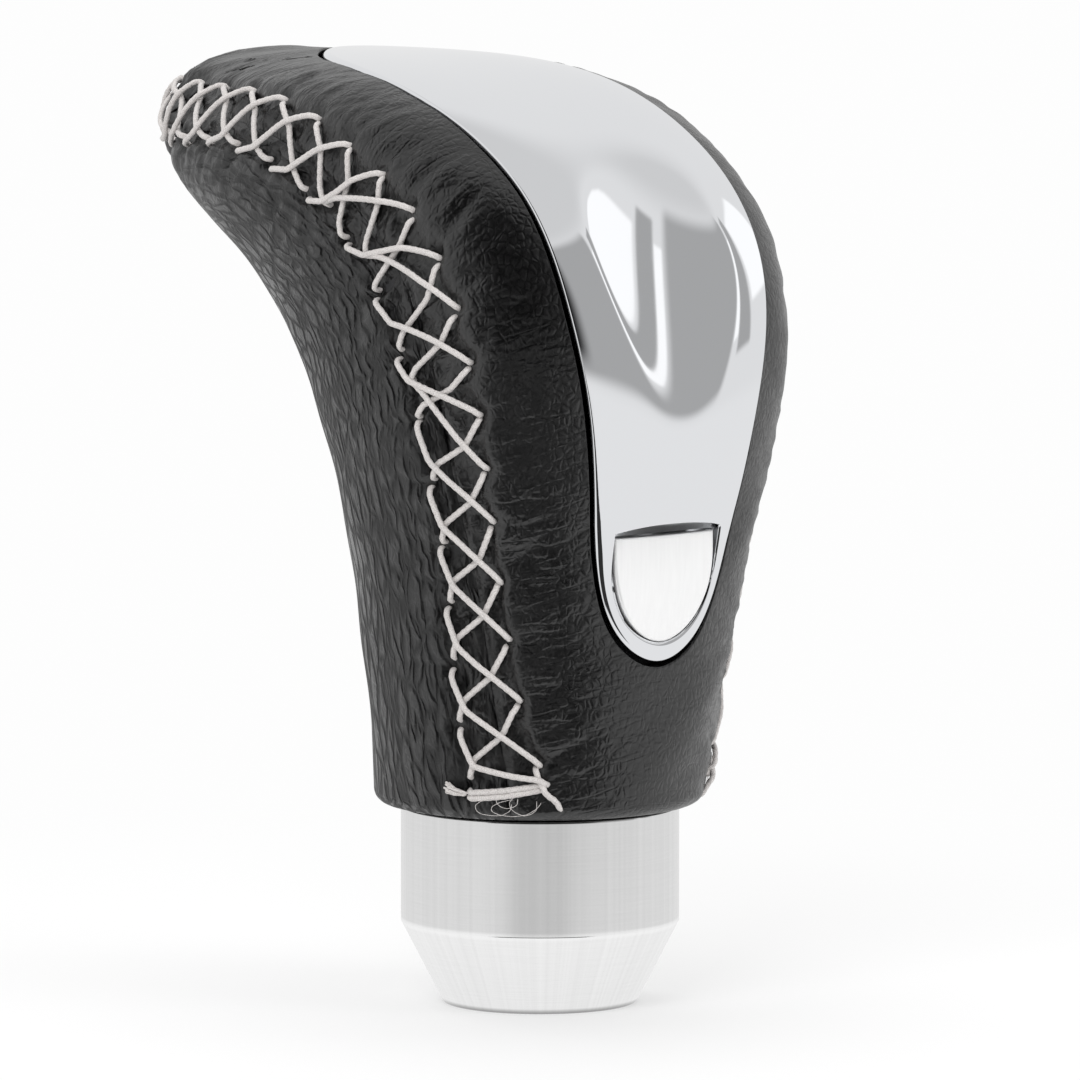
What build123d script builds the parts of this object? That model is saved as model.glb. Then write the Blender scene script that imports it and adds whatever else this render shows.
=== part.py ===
"""Gear shift knob: a leather covered grip with a chrome thumb plate, on a turned aluminium collar."""

import math
import os

from build123d import *

# Sizes in millimetres. Z runs up the gear lever, the chrome face looks along -Y, the foot is at Z = 0.

# Collar
foot_radius = 10.4
collar_radius = 15.0
collar_wall = 2.4
collar_height = 21.4
cone_height = 8.9
edge_break = 0.35
collar_floor = 3.0
collar_hole = 7.5  # in the floor, around the bush

# Lever bush, hub and set screws
lever_radius = 6.0
bush_wall = 1.9
bush_room = 2.6  # over the bush's end, inside the hub
bush_slit = 2.0
flange_radius = 9.6
flange_height = 1.4
slide_fit = 0.1  # bush in hub, screw in hole, pin in core
shank_wall = 2.0
shank_length = 24.0
hub_cap = 2.6
run_clearance = 0.3  # collar around the hub, around the bush and under the hem
screw_radius = 2.5
screw_sink = 0.4  # below the hub's outside
screw_rise = 6.0  # over the hub's foot
socket_flats = 2.5
socket_depth = 2.0
screw_count = 3

# Leather cover
leather = 1.2
glue_gap = 0.1
hem_radius = 17.5
hem_round = 1.5
hem_inset = 3.6  # from the hem's outside to its turned-in edge
panel_gap = 0.2
skive_width = 3.0  # half width of the thinned strip along the seam
skive_depth = 0.45

# Grip form: points (y, z above the hem) of the front and back rails, with the half width at each
front_rail = [
    (-19.4, 12.5),
    (-20.7, 26.3),
    (-23.3, 42.3),
    (-21.4, 58.3),
    (-12.1, 70.0),
    (4.7, 77.3),
    (24.5, 79.4),
    (43.3, 78.7),
]
back_rail = [
    (17.3, 12.5),
    (18.5, 25.3),
    (20.3, 37.8),
    (26.6, 47.2),
    (34.7, 54.5),
    (39.8, 58.1),
    (44.2, 61.2),
    (48.0, 63.9),
]
half_width = [19.4, 21.1, 24.2, 24.3, 23.5, 22.8, 20.1, 14.4]
front_square = [2.0, 2.3, 2.4, 3.2, 3.7, 3.7, 2.6, 2.2]  # 2 is an oval, higher is squarer
hem_square = 2.0
back_square = 2.1
nose = (54.4, 72.4)
nose_angles = (18, 36, 54, 72)  # degrees round the nose to its sections
grip_sections = 24
section_points = 20

# Seam, seen from the side: points (y, z above the hem)
seam_points = [
    (-11.3, 14.0),
    (-11.2, 36.0),
    (-10.4, 45.0),
    (-7.6, 53.2),
    (-2.7, 60.2),
    (5.1, 65.9),
    (14.4, 70.6),
    (27.4, 73.4),
    (42.0, 73.2),
]
seam_fall = -0.05  # slope of the seam where it goes round the nose
seam_reach = 60.0  # how far its cutting sheet runs past the grip

# Lacing: each thread is a list of (distance down the seam, distance to the front of it, height)
thread_width = 0.9
thread_height = 0.7
thread_sides = 6
stitch_pitch = 6.0
stitch_count = 20
stitch_start = 16.5  # from the hem up to the first full stitch's upper hole
long_thread = [
    (0.0, -3.9, -0.35),
    (0.9, -3.6, 0.35),
    (3.25, -2.65, 0.75),
    (6.0, 1.7, 0.75),
    (8.9, 3.7, 0.35),
    (9.5, 4.1, -0.35),
]
short_thread = [
    (4.2, 3.45, -0.35),
    (4.7, 2.95, 0.25),
    (6.0, 1.7, 0.0),
    (9.25, -2.65, 0.0),
    (10.6, -3.15, 0.25),
    (11.1, -3.35, -0.35),
]
end_thread = [(0.0, -3.9, -0.35), (0.9, -3.6, 0.35), (3.25, -2.65, 0.75), (6.0, 3.8, 0.95)]
tie_place = 3.7  # from the hem up to the tie-off
tie_step = 0.95
tie_count = 2
tie_thread = [(0.0, -4.7, -0.3), (0.1, -3.9, 0.25), (0.1, 3.8, 0.2), (0.0, 4.8, -0.3)]
tail_thread = [(0.7, 4.2, 1.0), (1.3, 5.4, 0.6), (1.9, 6.4, 0.1)]
knot_radius = 1.1
knot_place = (-0.6, -6.3, 0.6)
swing_start = 36.0  # y where the seam starts round the nose
swing_radius = 18.0

# Chrome insert, in a plane tilted to its press direction: points (half width, distance up)
face_tilt = 40.0
insert_outline = [
    (5.4, 2.3),
    (9.5, 9.9),
    (11.5, 18.3),
    (13.7, 28.0),
    (14.4, 41.0),
    (14.3, 52.0),
    (13.6, 64.0),
    (8.0, 77.6),
]
insert_length = 83.0
insert_near = 18.0  # where the pressed outline starts, inside the grip
insert_far = 70.0
insert_proud = 0.4
insert_depth = 3.6
insert_gap = 0.25
pin_radius = 2.0
pin_length = 7.0
pin_places = (24.0, 58.0)

# Dish in the insert, with angles up round the head in degrees
head_centre = (4.8, 47.4)
head_radius = 28.7
dish_middle = 24.0
dish_depth = 1.9
dish_radius = 45.0  # along the head, flatter than the head itself
dish_round = 30.0  # across it
dish_from = 0.0
dish_to = 50.0
dish_run = 18.0  # straight way out of the face at both ends

# Badge: a shield, with points (half width, height) down its side
badge_centre = (-20.5, 24.8)
badge_lean = 5.0
badge_half = 7.3
badge_top = 6.2
badge_side = [(6.8, 0.6), (4.3, -3.9)]
badge_tip = -6.0
badge_recess = 1.0
badge_fit = 0.35
badge_crown = 45.0
badge_rise = 0.5

hem_z = collar_height + run_clearance
core_depth = leather + glue_gap
collar_bore = collar_radius - collar_wall
cone_slope = (collar_radius - foot_radius) / cone_height
bore_foot = cone_height + collar_wall * math.tan(math.atan(cone_slope) / 2)
hub_radius = collar_bore - run_clearance
bush_radius = lever_radius + bush_wall
hub_bore = bush_radius + slide_fit
shank_inradius = hub_bore + shank_wall
hub_foot = bore_foot + run_clearance
flange_foot = hub_foot - slide_fit - flange_height
bore_top = hem_z + shank_length - hub_cap
bush_top = bore_top - bush_room
tilt = math.radians(face_tilt)
press_plane = Plane((0, 0, hem_z), (1, 0, 0), (0, -math.cos(tilt), math.sin(tilt)))
lean = math.radians(badge_lean)
badge_origin = (0, badge_centre[0], hem_z + badge_centre[1])
badge_plane = Plane(badge_origin, (1, 0, 0), (0, -math.cos(lean), -math.sin(lean)))
upright = (Align.CENTER, Align.CENTER, Align.MIN)


# Moves each point of a line square to it, to the right as the line runs
def offset_line(line, distance, closed=False):
    moved = []
    for i, (y, z) in enumerate(line):
        before = line[i - 1 if closed or i else 0]
        after = line[(i + 1) % len(line) if closed else min(i + 1, len(line) - 1)]
        run = Vector(after[0] - before[0], after[1] - before[1]).normalized()
        moved.append((y + distance * run.Y, z - distance * run.X))
    return moved


# One closed section across the grip, a rounded square to the front and an oval to the back
def section(front, back, width, square):
    centre = Vector(0, (front.X + back.X) / 2, hem_z + (front.Y + back.Y) / 2)
    reach = Vector(0, (front.X - back.X) / 2, (front.Y - back.Y) / 2)
    points = []
    for k in range(section_points):
        angle = 2 * math.pi * k / section_points + math.pi / 2
        over, up = math.cos(angle), math.sin(angle)
        power = square if up > 0 else back_square
        size = (abs(over) ** power + abs(up) ** power) ** (-1 / power)
        points.append(centre + reach * (size * up) + Vector(width * size * over, 0, 0))
    steps = [k / section_points for k in range(section_points + 1)]
    return Face(Wire([Edge.make_spline(points, periodic=True, parameters=steps)]))


# The grip's form, set in by depth from the leather's outside, with a flat foot at floor
def grip_form(depth, floor=0.0):
    fronts = offset_line([(-hem_radius, 0.0)] + front_rail, depth)
    backs = offset_line([(hem_radius, 0.0)] + back_rail, -depth)
    fronts[0] = (fronts[0][0], floor)
    backs[0] = (backs[0][0], floor)
    widths = [width - depth for width in [hem_radius] + half_width]
    shapes = list(zip(widths, [hem_square] + front_square))
    runs = [0.0]
    for i in range(1, len(fronts)):
        runs.append(runs[-1] + math.dist(fronts[i], fronts[i - 1]) + math.dist(backs[i], backs[i - 1]))
    steps = [run / runs[-1] for run in runs]
    rails = []
    for line in (fronts, backs, shapes):
        rail = Edge.make_spline([Vector(*point) for point in line], parameters=steps)
        rails.append(rail.geom_adaptor())
    sections = []
    for k in range(grip_sections):
        step = k / (grip_sections - 1)  # the same for each rail, however long it is
        front, back, shape = [Vector(rail.Value(step)) for rail in rails]
        sections.append(section(front, back, shape.X, shape.Y))
    middle = (front + back) / 2
    tip = Vector(nose[0] - depth, nose[1])
    for angle in nose_angles:
        shrink = math.cos(math.radians(angle))
        centre = middle + (tip - middle) * math.sin(math.radians(angle))
        ends = [centre + (end - middle) * shrink for end in (front, back)]
        sections.append(section(*ends, shape.X * shrink, shape.Y))
    return loft(sections + [Vertex(0, tip.X, hem_z + tip.Y)])


# Everything behind the seam, with the seam moved towards the front panel by shift
def behind_seam(shift):
    line = [(y, hem_z + z) for y, z in offset_line(seam_points, -shift)]
    foot = (line[0][0], -seam_reach)
    end = (line[-1][0] + seam_reach, line[-1][1] + seam_fall * seam_reach)
    with BuildSketch(Plane.YZ) as side:
        with BuildLine():
            Line(foot, line[0])
            Spline(*line, tangents=[(0, 1), (1, seam_fall)])
            Polyline(line[-1], end, (end[0], -seam_reach), foot)
        make_face()
    return extrude(side.sketch, seam_reach, both=True)


# The insert's outline, grown all round and pressed through the front of the grip
def insert_prism(grow):
    left = [(-x, y) for x, y in reversed(insert_outline)]
    outline = [(0, 0), *insert_outline, (0, insert_length), *left]
    with BuildSketch(press_plane.offset(insert_near)) as face:
        with BuildLine():
            Spline(*offset_line(outline, grow, closed=True), periodic=True)
        make_face()
    return extrude(face.sketch, insert_far - insert_near)


# The front one of the pieces that a cut through the grip leaves
def front_piece(shape):
    return shape.solids().sort_by(Axis.Y)[0]


# The direction on the mid plane so many degrees up round the head from its front
def head_direction(angle):
    turn = math.radians(angle)
    return Vector(0, -math.cos(turn), math.sin(turn))


# A round bar bent to a flatter arc than the head, so that it bites into the middle of the insert's face
def dish_scoop():
    lowest = head_radius + insert_proud - dish_depth
    head = Vector(0, head_centre[0], hem_z + head_centre[1])
    centre = head + head_direction(dish_middle) * (lowest - dish_radius)
    stops = [centre + head_direction(angle) * dish_radius for angle in (dish_from, dish_middle, dish_to)]
    arc = ThreePointArc(*stops)
    start = stops[0] - (arc % 0) * dish_run
    end = stops[2] + (arc % 1) * dish_run
    path = Wire([Line(start, stops[0]).edge(), arc.edge(), Line(stops[2], end).edge()])
    middle = start + head_direction(dish_from) * dish_round
    return sweep(Plane(middle, (1, 0, 0), arc % 0) * Circle(dish_round), path)


# The badge's outline on its plane: a straight top and two sides that curve to a rounded point
def shield(height, shrink):
    corner = (badge_half - shrink, badge_top - shrink)
    tip = (0, badge_tip + shrink)
    side = offset_line([corner, *badge_side, tip], shrink)[1:-1]
    with BuildSketch(badge_plane.offset(height)) as face:
        with BuildLine():
            Line((0, corner[1]), corner)
            Spline(corner, *side, tip, tangents=[(0, -1), (-1, 0)])
            mirror(about=Plane.YZ)
        make_face()
    return face.sketch


# The insert's two pins, from the middle of its plate into the core
def insert_pins(grip, clearance):
    pins = []
    for place in pin_places:
        foot = press_plane.from_local_coords((0, place, insert_near))
        hits = grip.find_intersection_points(Axis(foot, press_plane.z_dir))
        reach = max((hit - foot).dot(press_plane.z_dir) for hit, _ in hits)
        height = insert_near + reach - insert_depth - pin_length - clearance
        pin = Cylinder(pin_radius + clearance, pin_length + insert_depth / 2, align=upright)
        pins.append(press_plane.location * Pos(0, place, height) * pin)
    return pins


def make_insert(grip):
    plate = front_piece((grip_form(-insert_proud) & insert_prism(0)) - grip_form(insert_depth))
    plate -= dish_scoop()
    plate -= extrude(shield(-badge_recess, 0), 3 * badge_recess)
    for pin in insert_pins(grip, 0):
        plate += pin
    return plate


def make_badge():
    blank = extrude(shield(slide_fit - badge_recess, badge_fit), 2 * badge_recess)
    dome = badge_plane.location * Pos(0, 0, badge_rise - badge_crown) * Sphere(badge_crown)
    return blank & dome


def make_core(grip):
    core = grip_form(core_depth, core_depth)
    core -= front_piece(insert_prism(insert_gap) - grip_form(insert_depth + glue_gap))
    core -= extrude(hexagon(shank_inradius + slide_fit, hem_z), shank_length + slide_fit)
    for pin in insert_pins(grip, slide_fit):
        core -= pin
    return core


# The two panels as one skin, turned in at the hem and thinned along the seam
def make_cover(grip):
    skin = fillet(grip.edges().group_by(Axis.Z)[0], hem_round)
    skin -= grip_form(leather, leather)
    skin -= Pos(0, 0, hem_z) * Cylinder(hem_radius - hem_inset, leather, align=upright)
    strip = behind_seam(skive_width) - behind_seam(-skive_width)
    return skin - (strip - grip_form(skive_depth, -leather))


# Where a line meets the grip furthest along its direction, with the outward direction there
def outer_hit(grip, origin, direction):
    hits = grip.find_intersection_points(Axis(origin, direction))
    return max(hits, key=lambda hit: (hit[0] - origin).dot(Vector(*direction)))


# The place and outward direction on the left side of the grip for a point of the lacing
def lacing_point(grip, seam, up_seam, to_front, height):
    straight = seam.length - (seam_points[-1][0] - swing_start)
    along = min(up_seam, straight)
    swing = (up_seam - along) / swing_radius
    foot = seam.position_at(along, position_mode=PositionMode.LENGTH)
    run = seam.tangent_at(along, position_mode=PositionMode.LENGTH)
    point, out = outer_hit(grip, foot, (-math.cos(swing), math.sin(swing), 0))
    to_panel = Vector(1, 0, 0).cross(run)
    across = (to_panel - out * out.dot(to_panel)).normalized()
    point, out = outer_hit(grip, point + across * to_front, tuple(out))
    return point + out * height, out


# A thread as one small six-sided section moved from point to point
def thread(places):
    points = [point for point, _ in places]
    out = sum((out for _, out in places), Vector(0, 0, 0)).normalized()
    side = (points[-1] - points[0]).cross(out).normalized()
    spokes = []
    for k in range(thread_sides):
        turn = 2 * math.pi * k / thread_sides
        over, up = math.cos(turn) * thread_width / 2, math.sin(turn) * thread_height / 2
        spokes.append(side * over + out * up)
    rings = [Wire.make_polygon([point + spoke for spoke in spokes]) for point in points]
    return Solid.make_loft(rings, ruled=True)


def make_stitching(grip):
    line = [(0, y, hem_z + z) for y, z in seam_points]
    low = Line((0, seam_points[0][0], hem_z), line[0])
    high = Spline(*line, tangents=[(0, 0, 1), (0, 1, seam_fall)])
    seam = Wire([low.edge(), high.edge()])
    routes = [(stitch_start - stitch_pitch, end_thread), (tie_place, tail_thread)]
    routes += [(tie_place - k * tie_step, tie_thread) for k in range(tie_count)]
    for k in range(stitch_count):
        top = stitch_start + k * stitch_pitch
        routes += [(top, long_thread), (top, short_thread)]
    solids = []
    for top, route in routes:
        places = [lacing_point(grip, seam, top - down, front, up) for down, front, up in route]
        solids.append(thread(places))
    down, front, up = knot_place
    centre, _ = lacing_point(grip, seam, tie_place - down, front, up)
    solids.append(Pos(*centre) * Sphere(knot_radius))
    solids += [mirror(solid, about=Plane.YZ) for solid in solids]
    return Compound(solids)


def make_collar():
    outline = [
        (collar_hole, 0),
        (foot_radius - edge_break, 0),
        (foot_radius, edge_break),
        (collar_radius - edge_break / 2, cone_height - edge_break),
        (collar_radius, cone_height),
        (collar_radius, collar_height - edge_break),
        (collar_radius - edge_break, collar_height),
        (collar_bore + edge_break, collar_height),
        (collar_bore, collar_height - edge_break),
        (collar_bore, bore_foot),
        (collar_bore - (bore_foot - collar_floor) * cone_slope, collar_floor),
        (collar_hole, collar_floor),
    ]
    return revolve(Plane.XZ * make_face(Polyline(*outline, close=True)), Axis.Z)


# A place at each set screw, with Z along its axis outwards and the hub's axis at Z = 0
def screw_places():
    level = Pos(0, 0, hub_foot + screw_rise)
    turns = [90 + k * 360 / screw_count for k in range(screw_count)]
    return [level * Rot(0, 0, turn) * Rot(0, 90, 0) for turn in turns]


# The hub's hexagon, which keeps it from turning in the core
def hexagon(inradius, base):
    return Pos(0, 0, base) * RegularPolygon(inradius, 6, major_radius=False)


def make_hub():
    barrel = Pos(0, 0, hub_foot) * Cylinder(hub_radius, hem_z - hub_foot, align=upright)
    barrel = chamfer(barrel.edges().group_by(Axis.Z)[0], 2 * edge_break)
    hub = barrel + extrude(hexagon(shank_inradius, hem_z), shank_length)
    hub -= Pos(0, 0, hub_foot) * Cylinder(hub_bore, bore_top - hub_foot, align=upright)
    for place in screw_places():
        hub -= place * Cylinder(screw_radius + slide_fit, 2 * hub_radius, align=upright)
    return hub


# The split bush, with a flange under the hub and a neck that runs down through the collar's floor
def make_bush():
    foot = Pos(0, 0, flange_foot)
    bush = Cylinder(collar_hole - run_clearance, flange_foot, align=upright)
    bush += foot * Cylinder(bush_radius, bush_top - flange_foot, align=upright)
    bush += foot * Cylinder(flange_radius, flange_height, align=upright)
    bush -= Cylinder(lever_radius, bush_top, align=upright)
    return bush - Box(flange_radius, bush_slit, bush_top, align=(Align.MIN, Align.CENTER, Align.MIN))


def make_screws():
    start = bush_radius + slide_fit / 2
    end = hub_radius - screw_sink
    screw = Pos(0, 0, start) * Cylinder(screw_radius, end - start, align=upright)
    screw = chamfer(screw.edges().group_by(Axis.Z)[0], edge_break)
    screw -= extrude(hexagon(socket_flats / 2, end - socket_depth), socket_depth)
    return Compound([place * screw for place in screw_places()])


grip = grip_form(0)
cover = make_cover(grip)
nodes = {
    "collar": make_collar(),
    "threaded_hub": make_hub(),
    "lever_bush": make_bush(),
    "grub_screws": make_screws(),
    "knob_core": make_core(grip),
    "rear_leather": cover & behind_seam(0),
    "front_leather": cover - behind_seam(panel_gap) - insert_prism(insert_gap),
    "chrome_insert": make_insert(grip),
    "badge": make_badge(),
    "seam_stitching": make_stitching(grip),
}
os.makedirs("parts", exist_ok=True)
for name, shape in nodes.items():
    export_step(shape, f"parts/{name}.step")
    print(name, len(shape.solids()), round(shape.volume))
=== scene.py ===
import math

import bmesh
import bpy
import numpy as np
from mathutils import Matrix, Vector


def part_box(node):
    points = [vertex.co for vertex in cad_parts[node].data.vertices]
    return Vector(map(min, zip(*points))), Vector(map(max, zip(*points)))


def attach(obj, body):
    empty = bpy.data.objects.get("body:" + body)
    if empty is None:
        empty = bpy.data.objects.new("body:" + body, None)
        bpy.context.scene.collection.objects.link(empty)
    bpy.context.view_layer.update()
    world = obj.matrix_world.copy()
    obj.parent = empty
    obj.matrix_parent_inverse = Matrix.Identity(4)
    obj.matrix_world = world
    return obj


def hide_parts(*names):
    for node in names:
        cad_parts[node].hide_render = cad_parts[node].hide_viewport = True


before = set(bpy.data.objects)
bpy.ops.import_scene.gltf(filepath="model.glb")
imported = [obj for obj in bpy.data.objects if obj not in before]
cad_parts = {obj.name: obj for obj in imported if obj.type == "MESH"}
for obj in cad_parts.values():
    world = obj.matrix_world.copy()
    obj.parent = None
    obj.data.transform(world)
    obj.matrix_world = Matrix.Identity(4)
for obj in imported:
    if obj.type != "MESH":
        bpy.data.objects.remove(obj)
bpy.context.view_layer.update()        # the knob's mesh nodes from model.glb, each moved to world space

mm = 0.001               # shapes are worked out in millimetres, meshes are in metres
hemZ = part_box("rear_leather")[0][2] / mm      # the leather's lower edge
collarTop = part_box("collar")[1][2] / mm
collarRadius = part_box("collar")[1][0] / mm


# Smooth cubic line through points: slopes at the knots make its bend run on without a step
def curveThrough(knots, values, at, ends=None):
    knots, values, at = np.asarray(knots, float), np.asarray(values, float), np.asarray(at, float)
    count, gap = len(knots), np.diff(knots)
    rise = np.diff(values, axis=0) / gap[:, None]
    if ends is None:     # end slopes of the cubic through the four points there
        ends = (np.polyfit(knots[:4] - knots[0], values[:4], 3)[2],
                np.polyfit(knots[-4:] - knots[-1], values[-4:], 3)[2])
    matrix, right = np.eye(count), np.zeros_like(values)
    inner = np.arange(1, count - 1)
    matrix[inner, inner - 1] = gap[1:]
    matrix[inner, inner] = 2 * (gap[:-1] + gap[1:])
    matrix[inner, inner + 1] = gap[:-1]
    right[inner] = 3 * (gap[1:, None] * rise[:-1] + gap[:-1, None] * rise[1:])
    right[0], right[-1] = ends
    slope = np.linalg.solve(matrix, right)
    cell = np.clip(np.searchsorted(knots, at) - 1, 0, count - 2)
    width = gap[cell][..., None]
    part = ((at - knots[cell]) / gap[cell])[..., None]
    rest = 1 - part
    return (values[cell] * rest * rest * (1 + 2 * part) + values[cell + 1] * part * part * (3 - 2 * part)
            + width * part * rest * (slope[cell] * rest - slope[cell + 1] * part))


# Distance run along a row of points, from the first of them
def runLength(points):
    steps = np.linalg.norm(np.diff(points, axis=0), axis=1)
    return np.concatenate([[0], np.cumsum(steps)])


# Even steps from 0 to 1, drawn together at both ends
def crowded(count, share):
    even = np.linspace(0, 1, count)
    return even - share * np.sin(2 * math.pi * even) / (2 * math.pi)


def smoothStep(low, high, value):
    part = np.clip((value - low) / (high - low), 0, 1)
    return part * part * (3 - 2 * part)


def unit(vectors):
    return vectors / np.maximum(np.linalg.norm(vectors, axis=-1, keepdims=True), 1e-9)


def dot(first, second):
    return np.einsum("...k,...k", first, second)


# Uneven waves: a sum of sines in random directions, about one unit high
def unevenness(first, second, seed, waves=14):
    draw = np.random.default_rng(seed)
    turn, phase = draw.uniform(0, 2 * math.pi, (2, waves))
    pitch = draw.uniform(0.6, 1.6, waves)
    total = np.zeros(np.shape(first))
    for k in range(waves):
        along = math.cos(turn[k]) * first + math.sin(turn[k]) * second
        total += np.sin(2 * math.pi * pitch[k] * along + phase[k])
    return total / math.sqrt(waves)


# Quads between neighbouring rows and columns of a grid, as point numbers
def gridFaces(rows, cols, ring):
    index = np.arange(rows * cols).reshape(rows, cols)
    if ring:
        index = np.concatenate([index, index[:, :1]], axis=1)
    return np.stack([index[:-1, :-1], index[:-1, 1:], index[1:, 1:], index[1:, :-1]], axis=-1).reshape(-1, 4)


def addObject(name, data):
    item = bpy.data.objects.new(name, data)
    bpy.context.scene.collection.objects.link(item)
    return item


# A piece is one grid of points or several alike. In a ring the last column is joined to the first
def addPiece(name, points, material, body, node, seamMap=None, ring=True):
    rows, cols = points.shape[-3:-1]
    starts = np.arange(0, points.size // 3, rows * cols)
    faces = (gridFaces(rows, cols, ring) + starts[:, None, None]).reshape(-1, 4)
    mesh = bpy.data.meshes.new(name)
    points = np.ascontiguousarray(points.reshape(-1, 3) * mm)
    mesh.vertices.add(len(points))
    mesh.vertices.foreach_set("co", points.ravel())
    mesh.loops.add(faces.size)
    mesh.loops.foreach_set("vertex_index", np.ascontiguousarray(faces).ravel())
    mesh.polygons.add(len(faces))
    mesh.polygons.foreach_set("loop_start", np.arange(len(faces)) * 4)
    mesh.update(calc_edges=True)
    if seamMap is not None:
        corners = seamMap.reshape(-1, 2)[faces.ravel()]
        mesh.uv_layers.new(name="seam").data.foreach_set("uv", corners.ravel())
    work = bmesh.new()
    work.from_mesh(mesh)
    bmesh.ops.remove_doubles(work, verts=work.verts, dist=2e-6)
    bmesh.ops.recalc_face_normals(work, faces=work.faces)
    work.to_mesh(mesh)
    work.free()
    mesh.polygons.foreach_set("use_smooth", np.ones(len(mesh.polygons), bool))
    mesh.materials.append(material)
    piece = addObject(name, mesh)
    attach(piece, body)
    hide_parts(node)
    print("made", name, len(mesh.vertices), "points", len(mesh.polygons), "faces")
    return piece


# The grip's form: rails at its front and back seen from the side (y, height over the hem)
gripForm = {
    "hemRadius": 17.5,
    "hemRound": 1.5,
    "frontRail": [(-19.4, 12.5), (-20.7, 26.3), (-23.3, 42.3), (-21.4, 58.3), (-12.1, 70), (4.7, 77.3),
                  (24.5, 79.4), (43.3, 78.7)],
    "backRail": [(17.3, 12.5), (18.5, 25.3), (20.3, 37.8), (26.6, 47.2), (34.7, 54.5), (39.8, 58.1),
                 (44.2, 61.2), (48, 63.9)],
    "halfWidth": [19.4, 21.1, 24.2, 24.3, 23.5, 22.8, 20.1, 14.4],
    "frontSquare": [2, 2.3, 2.4, 3.2, 3.7, 3.7, 2.6, 2.2],     # 2 is an oval, higher is squarer
    "backSquare": 2.1,
    "nose": (54.4, 72.4),
    "noseAngles": (18, 36, 54, 72, 90),
    "rings": 24,
}


# Rings of the grip, one row each: front y and z, back y and z, half width, squareness
def gripRings(form):
    radius = form["hemRadius"]
    front = np.array([(-radius, 0), *form["frontRail"]], float)
    back = np.array([(radius, 0), *form["backRail"]], float)
    shape = np.column_stack([[radius, *form["halfWidth"]], [2, *form["frontSquare"]]])
    rows = np.hstack([front, back, shape])
    run = runLength(front) + runLength(back)
    rows = curveThrough(run / run[-1], rows, np.linspace(0, 1, form["rings"]))
    last = rows[-1]
    turn = np.radians(form["noseAngles"])[:, None]
    middle = (last[0:2] + last[2:4]) / 2
    centre = middle + (np.array(form["nose"]) - middle) * np.sin(turn)
    ends = [centre + (last[k:k + 2] - middle) * np.cos(turn) for k in (0, 2)]
    cap = np.hstack([*ends, last[4] * np.cos(turn), np.full_like(turn, last[5])])
    rows = np.vstack([rows, cap])
    run = runLength(rows[:, 0:2]) + runLength(rows[:, 2:4])
    return run / run[-1], rows


ringKnots, ringRows = gripRings(gripForm)


# A point of the grip: place along it from hem (0) to nose (1), angle round it, depth under its face.
# Each section is a rounded square in front and an oval behind, and the hem is rolled in
def gripAt(place, angle, inset=0.0):
    row = curveThrough(ringKnots, ringRows, np.clip(place, 0, 1))
    centre = (row[..., 0:2] + row[..., 2:4]) / 2
    reach = (row[..., 0:2] - row[..., 2:4]) / 2
    half = np.maximum(row[..., 4], 0)
    across, up = np.cos(angle), np.sin(angle)
    power = np.where(up > 0, row[..., 5], gripForm["backSquare"])
    size = (np.abs(across) ** power + np.abs(up) ** power) ** (-1 / power)
    roundness = gripForm["hemRound"]
    low = np.clip(roundness - centre[..., 1], 0, roundness)
    inset = inset + roundness - np.sqrt(roundness ** 2 - low ** 2)
    length = np.maximum(np.linalg.norm(reach, axis=-1), 1e-6)
    side = centre + reach * ((1 - inset / np.maximum(length, np.abs(inset) + 1e-6)) * size * up)[..., None]
    return np.stack([np.maximum(half - inset, 0) * size * across, side[..., 0], side[..., 1] + hemZ], axis=-1)


# Slopes of the grip along and round it, and its outward direction, by small steps
def gripSlopes(place, angle):
    step = 1e-4
    place = np.clip(place, 2 * step, 1 - 2 * step)
    along = (gripAt(place + step, angle) - gripAt(place - step, angle)) / (2 * step)
    around = (gripAt(place, angle + step) - gripAt(place, angle - step)) / (2 * step)
    return along, around, unit(np.cross(along, around))


# Seam between the panels, seen from the side, and the lacing over it
seam = {
    "points": [(-11.3, 14), (-11.2, 36), (-10.4, 45), (-7.6, 53.2), (-2.7, 60.2), (5.1, 65.9), (14.4, 70.6),
               (27.4, 73.4), (42, 73.2)],
    "fall": -0.05,
    "tailLength": 20.0,
    "swingStart": 36.0,  # y where it starts round the nose
    "swingRadius": 18.0,
    "steps": 700,
}


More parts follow.
